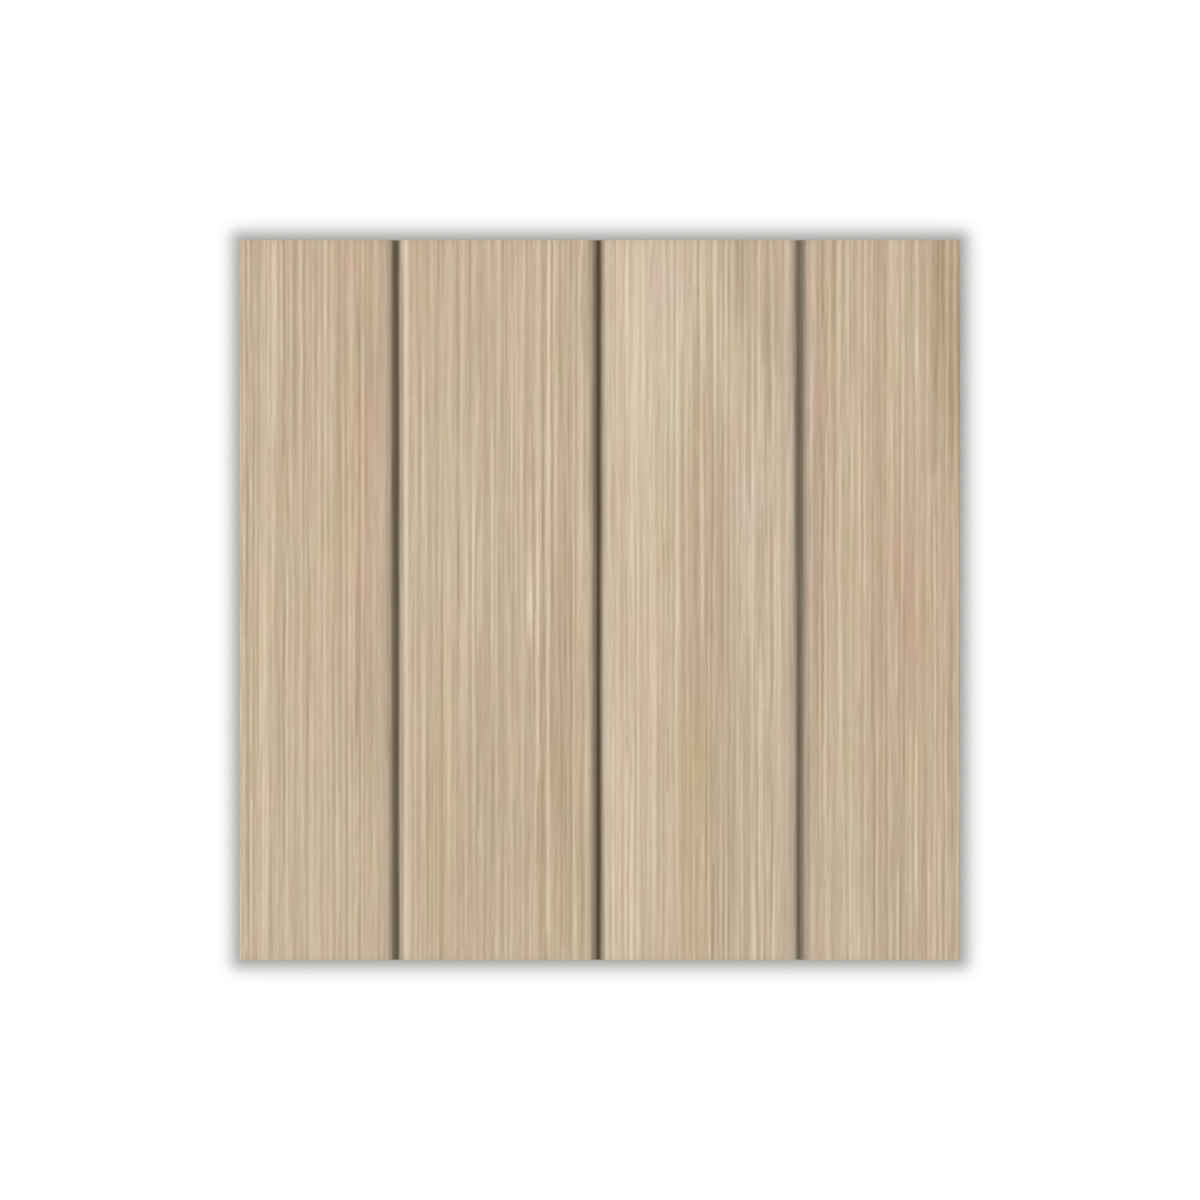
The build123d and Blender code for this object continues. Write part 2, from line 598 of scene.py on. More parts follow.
    def groove_drop(self, u: Array) -> Array:
        """Depth of the grooves: a trapezoid whose corners are arcs tangent to the wall and the level faces.

        Args:
            u: Places across the boards.

        Returns:
            How far the face lies below the boards at each place.
        """
        distance = np.abs(u[None, :] - self.groove_middles()[:, None]).min(axis=0)
        corner = math.tan((math.pi / 2 - self.groove_draft) / 2)
        shoulder_run, root_run = self.shoulder_radius * corner, self.root_radius * corner
        lean = math.sin(self.groove_draft)
        on_shoulder = np.clip(self.groove_half + shoulder_run - distance, 0, self.shoulder_radius)
        on_root = np.clip(distance - self.groove_floor / 2 + root_run, 0, self.root_radius)
        shoulder = self.shoulder_radius - np.sqrt(self.shoulder_radius ** 2 - on_shoulder ** 2)
        wall = (self.groove_half - distance) / math.tan(self.groove_draft)
        root = self.groove_depth - self.root_radius + np.sqrt(self.root_radius ** 2 - on_root ** 2)
        places = [
            distance >= self.groove_half + shoulder_run,
            distance >= self.groove_half - shoulder_run * lean,
            distance >= self.groove_floor / 2 + root_run * lean,
            distance >= self.groove_floor / 2 - root_run,
        ]
        return np.select(places, [np.zeros_like(u), shoulder, wall, root], self.groove_depth)

    def hollow(self, u: Array) -> Array:
        """Depth of the flutes in shares of the mean depth: a parabola between crests, deeper where wider.

        Args:
            u: Places across the boards.

        Returns:
            The hollow at each place, 0 on crests, lands and grooves.
        """
        result = np.zeros_like(u)
        for board in range(self.grooves + 1):
            borders = self.flute_edges(board)
            flute = np.clip(np.searchsorted(borders, u) - 1, 0, len(borders) - 2)
            width = np.diff(borders)[flute]
            middle = borders[flute] + width / 2
            across = (u - middle) / (width - self.crest_width) * 2
            result += np.clip(1 - across ** 2, 0, None) * width / self.flute_pitch
        return result

    def sheet(self) -> tuple[Array, Array]:
        """Parameters of the sheet as two grids: u across the boards and v along them."""
        return np.meshgrid(self.columns(), np.linspace(-self.edge, self.edge, self.rows))

    def relief(self, u: Array, v: Array) -> Array:
        """Height of the face: the boards' level less grooves and flutes, whose depth fades along the grain.

        Args:
            u: Parameter across the boards.
            v: Parameter along the boards.

        Returns:
            Height of each point of the sheet.
        """
        across = u[0]
        strength = np.clip(self.fade_mean + self.fade.at(u, v), self.fade_least, 1)
        return self.top - self.groove_drop(across) - self.flute_depth * self.hollow(across) * strength

    def flute_count(self, u: Array) -> Array:
        """Flutes from a board's first border to each place, counted on evenly into the lands and grooves.

        Args:
            u: Places across the boards.

        Returns:
            The count at each place, a whole number on a crest.
        """
        beyond = self.flute_pitch * np.arange(1, self.land_flutes + 1)
        counts = np.zeros_like(u)
        for board in range(self.grooves + 1):
            borders = self.flute_edges(board)
            borders = np.concatenate([borders[0] - beyond[::-1], borders, borders[-1] + beyond])
            on_board = self.board_of(u) == board
            counts[on_board] = np.interp(u[on_board], borders, np.arange(len(borders)))
        return counts

    def grain(self, u: Array, v: Array) -> Array:
        """Lightness of the printed grain in spreads.

        It is the sum of the lines in register with the flutes, the free lines and the fine lines, times each
        board's contrast, and of soft bands and the tone of each board and of its patches.

        Args:
            u: Parameter across the boards.
            v: Parameter along the boards.

        Returns:
            Grain at each point, about 0 with a spread of 1.
        """
        board = self.board_of(u)
        across, along = u + STEP_ACROSS * board, v + STEP_ALONG * board
        count = self.flute_count(u)
        lines = sum(ribs.at(count, across, v) for ribs in self.flute_lines)
        lines = lines + sum(free.at(across, along) for free in self.free_lines)
        lines = lines + self.fine_lines.at(across, along)
        bands = self.soft_bands.at(across, along)
        tone = np.array(self.board_tones)[board] + self.patched(Quality.TONE, u, v)
        return np.array(self.board_contrasts)[board] * lines + bands + tone

    def patched(self, quality: Quality, u: Array, v: Array) -> Array:
        """Sum of one quality over the placed patches, each times its cover and kept to its own board.

        Args:
            quality: Which number of the patches is summed.
            u: Parameter across the boards.
            v: Parameter along the boards.

        Returns:
            The sum at each point.
        """
        board = self.board_of(u)
        total = np.zeros_like(u)
        for patch in self.patches:
            on_board = board == self.board_of(patch.x * MILLIMETRE)
            total += patch.amount(quality) * patch.cover(u, v) * on_board
        return total

    def blush(self, u: Array, v: Array) -> Array:
        """Hue of the print, pink above zero and olive below: placed patches and a little soft noise."""
        return self.patched(Quality.BLUSH, u, v) + self.blush_noise.at(u + STEP_HUE * self.board_of(u), v)

    def warmth(self, u: Array, v: Array) -> Array:
        """Yellow of the print, more above zero and less below: placed patches and a little soft noise."""
        return self.patched(Quality.WARMTH, u, v) + self.warmth_noise.at(u + STEP_HUE * self.board_of(u), v)

    def groove_offsets(self, u: Array) -> list[Array]:
        """Distance of each place from each groove's middle in millimetres, groove by groove."""
        return [(u - middle) / MILLIMETRE for middle in self.groove_middles()]

    def painted_groove_shade(self, u: Array) -> Array:
        """Painted groove shade at places across the boards: the strongest of the grooves' painted shades."""
        pairs = zip(self.painted_groove_shades, self.groove_offsets(u))
        return np.max([painted_groove_shade.strength(offset) for painted_groove_shade, offset in pairs], axis=0)

    def painted_highlight_line(self, u: Array) -> Array:
        """Painted highlight lines just right of the grooves, at places across the boards: their sum."""
        pairs = zip(self.painted_groove_shades, self.groove_offsets(u))
        return np.sum([painted_groove_shade.line(offset) for painted_groove_shade, offset in pairs], axis=0)


@dataclass(frozen=True)
class KeyedBack:
    """The back: square drafted pockets between crossing ribs, inside a plain margin."""

    side: float
    pocket_pitch: float = 28 * MILLIMETRE
    rib_width: float = 6 * MILLIMETRE
    pocket_depth: float = 0.8 * MILLIMETRE
    pocket_draft: float = math.radians(30)
    margin: float = 20 * MILLIMETRE

    def lines(self) -> tuple[Array, Array]:
        """Grid lines one way across the back: mouth, floor, floor and mouth of each pocket.

        Returns:
            The lines' places, and 1 for a floor line or 0 for a mouth line.
        """
        field = self.side - 2 * self.margin + self.rib_width
        count = max(1, round(field / self.pocket_pitch))
        pitch = field / count
        mouth = (pitch - self.rib_width) / 2
        floor = mouth - self.pocket_depth * math.tan(self.pocket_draft)
        middles = pitch * (np.arange(count) - (count - 1) / 2)
        places = middles[:, None] + np.array([-mouth, -floor, floor, mouth])
        return places.ravel(), np.tile([0.0, 1.0, 1.0, 0.0], count)

    def sheet(self) -> Array:
        """Points of the back by row and column: a pocket is as deep as the lesser of its two directions.

        Returns:
            Points with the ribs at height 0.
        """
        places, floors = self.lines()
        x, y = np.meshgrid(places, places)
        return np.stack([x, y, self.pocket_depth * np.minimum(floors[:, None], floors[None, :])], axis=-1)


class Zone(Enum):
    """Which finish a face of the tile takes, by material slot."""

    GLAZE = 0
    BODY = 1


class MeshBuilder:
    """Gathers points and faces of one closed mesh, with a finish and flat-map places for each face."""

    def __init__(self) -> None:
        """Start with no points and no faces."""
        self.points: list[Array] = []
        self.corners: list[Array] = []
        self.totals: list[Array] = []
        self.zones: list[Array] = []
        self.flat: list[Array] = []
        self.maps: list[Array] = []
        self.count = 0

    def add_points(self, points: Array) -> Array:
        """Take in points.

        Args:
            points: Any array of points whose last axis is x, y, z.

        Returns:
            Numbers of the points, in the array's shape without its last axis.
        """
        numbers = self.count + np.arange(points[..., 0].size).reshape(points.shape[:-1])
        self.points.append(points.reshape(-1, 3))
        self.count += numbers.size
        return numbers

    def add_faces(self, faces: Array, maps: Array, zone: Zone, flat: bool) -> None:
        """Take in faces that all have as many corners.

        Args:
            faces: Numbers of the points by face and corner, counter-clockwise from outside.
            maps: Places on the flat map by face and corner.
            zone: Finish of the faces.
            flat: Whether they are shaded flat.
        """
        self.corners.append(faces.ravel())
        self.totals.append(np.full(len(faces), faces.shape[1]))
        self.zones.append(np.full(len(faces), zone.value))
        self.flat.append(np.full(len(faces), flat))
        self.maps.append(maps.reshape(-1, 2))

    def mesh(self, name: str) -> bpy.types.Mesh:
        """Put everything into a mesh.

        Args:
            name: Name of the mesh.

        Returns:
            The mesh, with its flat map and finishes by face.
        """
        mesh = bpy.data.meshes.new(name)
        points, corners = np.concatenate(self.points), np.concatenate(self.corners)
        totals = np.concatenate(self.totals)
        mesh.vertices.add(len(points))
        mesh.vertices.foreach_set("co", points.astype(np.float32).ravel())
        mesh.loops.add(len(corners))
        mesh.loops.foreach_set("vertex_index", corners.astype(np.int32))
        mesh.polygons.add(len(totals))
        mesh.polygons.foreach_set("loop_start", (np.cumsum(totals) - totals).astype(np.int32))
        mesh.polygons.foreach_set("material_index", np.concatenate(self.zones).astype(np.int32))
        mesh.update(calc_edges=True)
        mesh.polygons.foreach_set("use_smooth", ~np.concatenate(self.flat))
        flat_map = mesh.uv_layers.new(name="OFBake")
        flat_map.uv.foreach_set("vector", np.concatenate(self.maps).astype(np.float32).ravel())
        mesh.validate()
        return mesh


def grid_faces(numbers: Array) -> Array:
    """Four-cornered faces of a grid of points, counter-clockwise seen from the side where x, y turn left."""
    ring = [numbers[:-1, :-1], numbers[:-1, 1:], numbers[1:, 1:], numbers[1:, :-1]]
    return np.stack(ring, axis=-1).reshape(-1, 4)


def grid_maps(u: Array, v: Array) -> Array:
    """Places on the flat map for the faces of a grid, in the order that grid_faces gives them."""
    ring = [np.s_[:-1, :-1], np.s_[:-1, 1:], np.s_[1:, 1:], np.s_[1:, :-1]]
    return np.stack([np.stack([u[part], v[part]], axis=-1) for part in ring], axis=-2).reshape(-1, 4, 2)


class Term:
    """A shader socket that takes part in sums, with numbers or with other sockets."""

    def __init__(self, nodes: "NodeSheet", socket: bpy.types.NodeSocket) -> None:
        """Hold a socket and the sheet of nodes it belongs to."""
        self.nodes = nodes
        self.socket = socket

    def _math(self, operation: str, first: Any, second: Any) -> "Term":
        """Add a Math node for two values and return its result."""
        return self.nodes.add("ShaderNodeMath", {"operation": operation}, {0: first, 1: second}).out("Value")

    def __add__(self, other: Any) -> "Term":
        """Sum of this value and another."""
        return self._math("ADD", self, other)

    def __radd__(self, other: Any) -> "Term":
        """Sum of a number and this value."""
        return self._math("ADD", other, self)

    def __sub__(self, other: Any) -> "Term":
        """This value less another."""
        return self._math("SUBTRACT", self, other)

    def __rsub__(self, other: Any) -> "Term":
        """A number less this value."""
        return self._math("SUBTRACT", other, self)

    def __mul__(self, other: Any) -> "Term":
        """Product of this value and another."""
        return self._math("MULTIPLY", self, other)

    def __rmul__(self, other: Any) -> "Term":
        """Product of a number and this value."""
        return self._math("MULTIPLY", other, self)

    def __rpow__(self, other: Any) -> "Term":
        """A number to the power of this value."""
        return self._math("POWER", other, self)

    def clipped(self, low: float, high: float) -> "Term":
        """This value stretched so that low becomes 0 and high becomes 1, and held between them."""
        sockets = {"Value": self, "From Min": low, "From Max": high}
        return self.nodes.add("ShaderNodeMapRange", {"clamp": True}, sockets).out("Result")


class Node:
    """A shader node whose outputs are asked for by name."""

    def __init__(self, nodes: "NodeSheet", node: bpy.types.Node) -> None:
        """Hold a node and the sheet it is on."""
        self.nodes = nodes
        self.node = node

    def out(self, name: str | int) -> Term:
        """The output of that name or number, ready for sums."""
        return Term(self.nodes, self.node.outputs[name])


@dataclass(frozen=True)
class Mottle:
    """Soft shader noise from 0 to 1.

    Attributes:
        waves: Waves to a metre along X, Y and Z.
        detail: How many finer layers it has.
        roughness: Strength of each finer layer beside the one before.
    """

    waves: tuple[float, float, float]
    detail: float = 2.0
    roughness: float = 0.5


class NodeSheet:
    """The shader nodes of one material or world."""

    def __init__(self, tree: bpy.types.NodeTree) -> None:
        """Start with an empty tree."""
        self.tree = tree
        tree.nodes.clear()

    def add(self, kind: str, settings: Mapping[str, Any], sockets: Mapping[str | int, Any]) -> Node:
        """Add a node.

        Args:
            kind: Blender's name of the node's type.
            settings: Settings made first. The key stops holds a ramp's places and colours.
            sockets: Values or links of the node's inputs, by name or number.

        Returns:
            The node.
        """
        node = self.tree.nodes.new(kind)
        for name, value in settings.items():
            if name == "stops":
                self._set_stops(node, value)
            else:
                setattr(node, name, value)
        for name, value in sockets.items():
            if isinstance(value, Term):
                self.tree.links.new(value.socket, node.inputs[name])
            else:
                node.inputs[name].default_value = value
        return Node(self, node)

    @staticmethod
    def _set_stops(node: bpy.types.Node, stops: Sequence[tuple[float, Colour]]) -> None:
        """Give a colour ramp its stops.

        Args:
            node: The ramp.
            stops: Places from 0 to 1 and their colours, in order.
        """
        elements = node.color_ramp.elements
        for _ in range(len(stops) - len(elements)):
            elements.new(1.0)
        for element, (place, colour) in zip(elements, stops):
            element.position = place
            element.color = (*colour, 1.0)

    def show(self, kind: str, sockets: Mapping[str | int, Any]) -> None:
        """Add the shader that a material shows, and link it to the material's output."""
        shader = self.add(kind, {}, sockets)
        self.add("ShaderNodeOutputMaterial", {}, {"Surface": shader.out("BSDF")})

    def field(self, name: str) -> Term:
        """A number that the mesh holds for each point."""
        return self.add("ShaderNodeAttribute", {"attribute_name": name}, {}).out("Fac")

    def position(self) -> Term:
        """Object coordinates."""
        return self.add("ShaderNodeTexCoord", {}, {}).out("Object")

    def vector(self, x: Any, y: Any, z: Any) -> Term:
        """Three values as one vector or colour."""
        return self.add("ShaderNodeCombineXYZ", {}, {"X": x, "Y": y, "Z": z}).out("Vector")

    def vector_math(self, operation: str, *vectors: Any) -> Term:
        """Result of a vector operation on one or two vectors or colours, channel by channel."""
        node = self.add("ShaderNodeVectorMath", {"operation": operation}, dict(enumerate(vectors)))
        return node.out("Vector")

    def noise(self, mottle: Mottle) -> Term:
        """Soft noise over the object's own coordinates.

        Args:
            mottle: Waves and detail of the noise.

        Returns:
            The noise, from 0 to 1.
        """
        place = self.add("ShaderNodeMapping", {}, {"Vector": self.position(), "Scale": mottle.waves})
        sockets = {
            "Vector": place.out("Vector"),
            "Scale": 1.0,
            "Detail": mottle.detail,
            "Roughness": mottle.roughness,
        }
        return self.add("ShaderNodeTexNoise", {}, sockets).out("Fac")

    def mix(self, share: Any, first: Any, second: Any) -> Term:
        """Blend of two colours.

        Args:
            share: How much of the second colour, from 0 to 1.
            first: First colour, a link or red, green and blue.
            second: Second colour.

        Returns:
            The blended colour.
        """
        sockets = {MIX_SHARE: share, MIX_FIRST: self._colour(first), MIX_SECOND: self._colour(second)}
        return self.add("ShaderNodeMix", {"data_type": "RGBA"}, sockets).out(MIX_RESULT)

    @staticmethod
    def _colour(value: Any) -> Any:
        """A link as it is, or a colour with full cover."""
        return value if isinstance(value, Term) else (*value, 1.0)

    def bump(self, height: Term, depth: float, strength: float) -> Term:
        """Surface direction over a height from 0 to 1.

        Args:
            height: The height.
            depth: Height of a full step.
            strength: Share of the bump that shows.

        Returns:
            The direction, for a shader's Normal.
        """
        sockets = {"Height": height, "Distance": depth, "Strength": strength}
        return self.add("ShaderNodeBump", {}, sockets).out("Normal")


def new_material(name: str) -> tuple[bpy.types.Material, NodeSheet]:
    """Make an empty material.

    Args:
        name: Name of the material.

    Returns:
        The material and its sheet of nodes.
    """
    material = bpy.data.materials.new(name)
    material.use_nodes = True
    return material, NodeSheet(material.node_tree)


@dataclass(frozen=True)
class PrintedGlaze:
    """Matt glaze over the printed timber grain of the face.

    Attributes:
        deep: Darkest grain, at the grain's reach below the mean.
        honey: Mean of the boards.
        cream: Lightest grain, at the grain's reach above the mean.
        groove: Painted shade on the floor of a groove.
        wash: Thinner painted shade on the shoulders of a groove.
        line: Painted highlight beside a groove.
        grain_reach: Spreads of the grain from the mean to the darkest and the lightest.
        painted_shade_range: Painted shade at which the wash's colour ends and at which the groove's is full.
    """

    deep: Colour = shade(168, 147.5, 120)
    honey: Colour = shade(196, 175.6, 149)
    cream: Colour = shade(224, 205.6, 180)
    groove: Colour = shade(57, 43, 12)
    wash: Colour = shade(52, 53, 39)
    line: Colour = shade(228, 211, 189)
    grain_reach: float = 3.0
    painted_shade_range: Range = (0.6, 0.95)

    # Change of red, green and blue for one step of blush or warmth
    blush_red: float = 0.012
    blush_green: float = 0.011
    warmth_blue: float = 0.024

    # Fibres, pores and speckle, with their contrast, their roughness and their share of the bump
    fibre: Mottle = Mottle((900, 22, 900), detail=3.0, roughness=0.6)
    pores: Mottle = Mottle((520, 60, 520), detail=1.0)
    speckle: Mottle = Mottle((700, 700, 700), detail=1.0)
    pore_edge: Range = (0.66, 0.74)
    fibre_contrast: float = 0.05
    pore_contrast: float = 0.06
    roughness: float = 0.56
    speckle_roughness: float = 0.12
    pore_roughness: float = 0.08
    specular: float = 0.2
    fibre_height: float = 0.6
    speckle_height: float = 0.25
    pore_height: float = 0.5
    bump_depth: float = 0.15 * MILLIMETRE
    bump_strength: float = 0.35

    def printed(self, nodes: NodeSheet) -> Term:
        """Colour of the print: a ramp over the grain times a tint of blush and warmth, under painted
        highlights.

        Args:
            nodes: The material's nodes.

        Returns:
            The print's colour with its painted highlights, before fibres and the painted groove shade.
        """
        stops = [(0.0, self.deep), (0.5, self.honey), (1.0, self.cream)]
        place = nodes.field("grain") * (0.5 / self.grain_reach) + 0.5
        ramp = nodes.add("ShaderNodeValToRGB", {"stops": stops}, {"Fac": place}).out("Color")
        blush, warmth = nodes.field("blush"), nodes.field("warmth")
        red, green = 1 + blush * self.blush_red, 1 - blush * self.blush_green
        tint = nodes.vector(red, green, 1 - warmth * self.warmth_blue)
        # Painted highlight: a pale line just right of each groove
        return nodes.mix(nodes.field("painted_highlight_line"), nodes.vector_math("MULTIPLY", ramp, tint), self.line)

    def material(self) -> bpy.types.Material:
        """Build the finish: the print, fibres and pores in it, and the painted groove shade over it.

        Returns:
            The material.
        """
        material, nodes = new_material("printed_matt_glaze")
        fibre, speckle = nodes.noise(self.fibre), nodes.noise(self.speckle)
        pores = nodes.noise(self.pores).clipped(*self.pore_edge)
        detail = 1 + (fibre - NOISE_MEAN) * self.fibre_contrast - pores * self.pore_contrast
        grained = nodes.vector_math("MULTIPLY", self.printed(nodes), nodes.vector(detail, detail, detail))
        # Painted shade in the grooves, and a painted shadow wash on their left shoulders
        painted_groove_shade = nodes.field("painted_groove_shade")
        painted_shade_colour = nodes.mix(painted_groove_shade.clipped(*self.painted_shade_range), self.wash, self.groove)
        uneven = (speckle - NOISE_MEAN) * self.speckle_roughness
        height = fibre * self.fibre_height + speckle * self.speckle_height - pores * self.pore_height
        sockets = {
            "Base Color": nodes.mix(painted_groove_shade, grained, painted_shade_colour),
            "Roughness": self.roughness + uneven + pores * self.pore_roughness,
            "Specular IOR Level": self.specular,
            "Normal": nodes.bump(height, self.bump_depth, self.bump_strength),
        }
        nodes.show("ShaderNodeBsdfPrincipled", sockets)
        return material


@dataclass(frozen=True)
class BareBody:
    """Unglazed porcelain of the edges and the back, with glaze on the upper edge and chalk on the ribs.

    Attributes:
        body: Clay of the tile.
        pale: Lighter areas and specks in it.
        dark: Darker specks in it.
        chalk: Kiln wash left on the ribs.
        glaze: Glaze that has run over the upper edge.
        chalk_height: Height above the ribs where the chalk ends.
        glaze_depth: How far below the face the glaze runs.
        glaze_stray: How far its lower edge strays up and down.
    """

    body: Colour = shade(196, 184, 166)
    pale: Colour = shade(214, 205, 190)
    dark: Colour = shade(150, 138, 120)
    chalk: Colour = shade(232, 228, 219)
    glaze: Colour = shade(186, 165, 138)
    chalk_height: float = 0.4 * MILLIMETRE
    glaze_depth: float = 2.2 * MILLIMETRE
    glaze_stray: float = 3.0 * MILLIMETRE

    # Noises, where each sets in and is full, and the share of its colour
    mottle: Mottle = Mottle((60, 60, 60), detail=3.0)
    speck: Mottle = Mottle((900, 900, 900), detail=1.0)
    pits: Mottle = Mottle((420, 420, 420))
    wear: Mottle = Mottle((45, 130, 45), detail=4.0, roughness=0.6)
    ragged: Mottle = Mottle((90, 90, 20), detail=3.0)
    mottle_edge: Range = (0.3, 0.7)
    dark_edge: Range = (0.58, 0.68)
    pale_edge: Range = (0.42, 0.34)
    pit_edge: Range = (0.62, 0.7)
    wear_edge: Range = (0.36, 0.62)
    mottle_share: float = 0.6
    speck_share: float = 0.35
    chalk_share: float = 0.75
    glaze_share: float = 0.85

    # Shares of the chalk's height and the glaze's depth over which they are full
    full_chalk: float = 0.1
    full_glaze: float = 0.6

    roughness: float = 0.72
    speck_roughness: float = 0.2
    glaze_smoothness: float = 0.12
    specular: float = 0.3
    speck_height: float = 0.5
    pit_height: float = 0.8
    bump_depth: float = 0.2 * MILLIMETRE
    bump_strength: float = 0.4

    def clay(self, nodes: NodeSheet, speck: Term, height: Term) -> Term:
        """Colour of the body: mottled clay, dark and pale specks, and worn chalk on the ribs.

        Args:
            nodes: The material's nodes.
            speck: Fine noise.
            height: Height above the bedding plane.

        Returns:
            The colour, before the glaze.
        """
        mottled = nodes.noise(self.mottle).clipped(*self.mottle_edge) * self.mottle_share
        clay = nodes.mix(mottled, self.body, self.pale)
        clay = nodes.mix(speck.clipped(*self.dark_edge) * self.speck_share, clay, self.dark)
        clay = nodes.mix(speck.clipped(*self.pale_edge) * self.speck_share, clay, self.pale)
        on_rib = height.clipped(self.chalk_height, self.full_chalk * self.chalk_height)
        left = nodes.noise(self.wear).clipped(*self.wear_edge) * self.chalk_share
        return nodes.mix(on_rib * left, clay, self.chalk)

    def material(self, top: float) -> bpy.types.Material:
        """Build the finish: the clay, the glaze's uneven lower edge, and fine pits.

        Args:
            top: Height of the walking face.

        Returns:
            The material.
        """
        material, nodes = new_material("bare_porcelain_body")
        speck = nodes.noise(self.speck)
        height = nodes.add("ShaderNodeSeparateXYZ", {}, {"Vector": nodes.position()}).out("Z")
        stray = (nodes.noise(self.ragged) - NOISE_MEAN) * self.glaze_stray
        run = (height + stray).clipped(top - self.glaze_depth, top - self.full_glaze * self.glaze_depth)
        pits = nodes.noise(self.pits).clipped(*self.pit_edge)
        uneven = (speck - NOISE_MEAN) * self.speck_roughness
        relief = speck * self.speck_height - pits * self.pit_height
        sockets = {
            "Base Color": nodes.mix(run * self.glaze_share, self.clay(nodes, speck, height), self.glaze),
            "Roughness": self.roughness + uneven - run * self.glaze_smoothness,
            "Specular IOR Level": self.specular,
            "Normal": nodes.bump(relief, self.bump_depth, self.bump_strength),
        }
        nodes.show("ShaderNodeBsdfPrincipled", sockets)
        return material


@dataclass(frozen=True)
class FlatMap:
    """Where each side of the tile lies on the flat map, in shares of the map.

    Attributes:
        gap: Clear space between sides.
        face: Side of the walking face.
        beyond: Where the back starts, right of the face, and the edges, above it.
        edge_height: Height of one edge's strip.
        edge_levels: Shares of the strip at its top, below the arris, above the bevel and at its foot.
    """

    gap: float = 0.006
    face: float = 0.86
    beyond: float = 0.875
    edge_height: float = 0.024
    edge_levels: tuple[float, ...] = (0.0, 0.09, 0.88, 1.0)

    def on_face(self, u: Array, v: Array, edge: float) -> tuple[Array, Array]:
        """Places of points of the face, from their parameters and the distance to its edge."""
        spread = self.face / (2 * edge)
        return self.gap + (u + edge) * spread, self.gap + (v + edge) * spread

    def on_edge(self, number: int, count: int) -> tuple[Array, Array]:
        """Places along one edge's strip, and the levels of its rings.

        Args:
            number: Number of the edge.
            count: Points along it.

        Returns:
            The places along the strip, and the levels from the top ring to the foot.
        """
        base = self.beyond + number * (self.edge_height + self.gap)
        along = self.gap + np.linspace(0, 1 - 2 * self.gap, count)
        return along, base + self.edge_height * np.array(self.edge_levels)

    def on_back(self, points: Array, side: float) -> tuple[Array, Array]:
        """Places of points of the back.

        Args:
            points: The points, with x, y, z on the last axis.
            side: Side of the tile.

        Returns:
            The places across and along the map.
        """
        width = 1 - self.beyond - self.gap
        shares = points[..., :2] / side + 0.5
        return self.beyond + shares[..., 0] * width, self.gap + shares[..., 1] * self.face


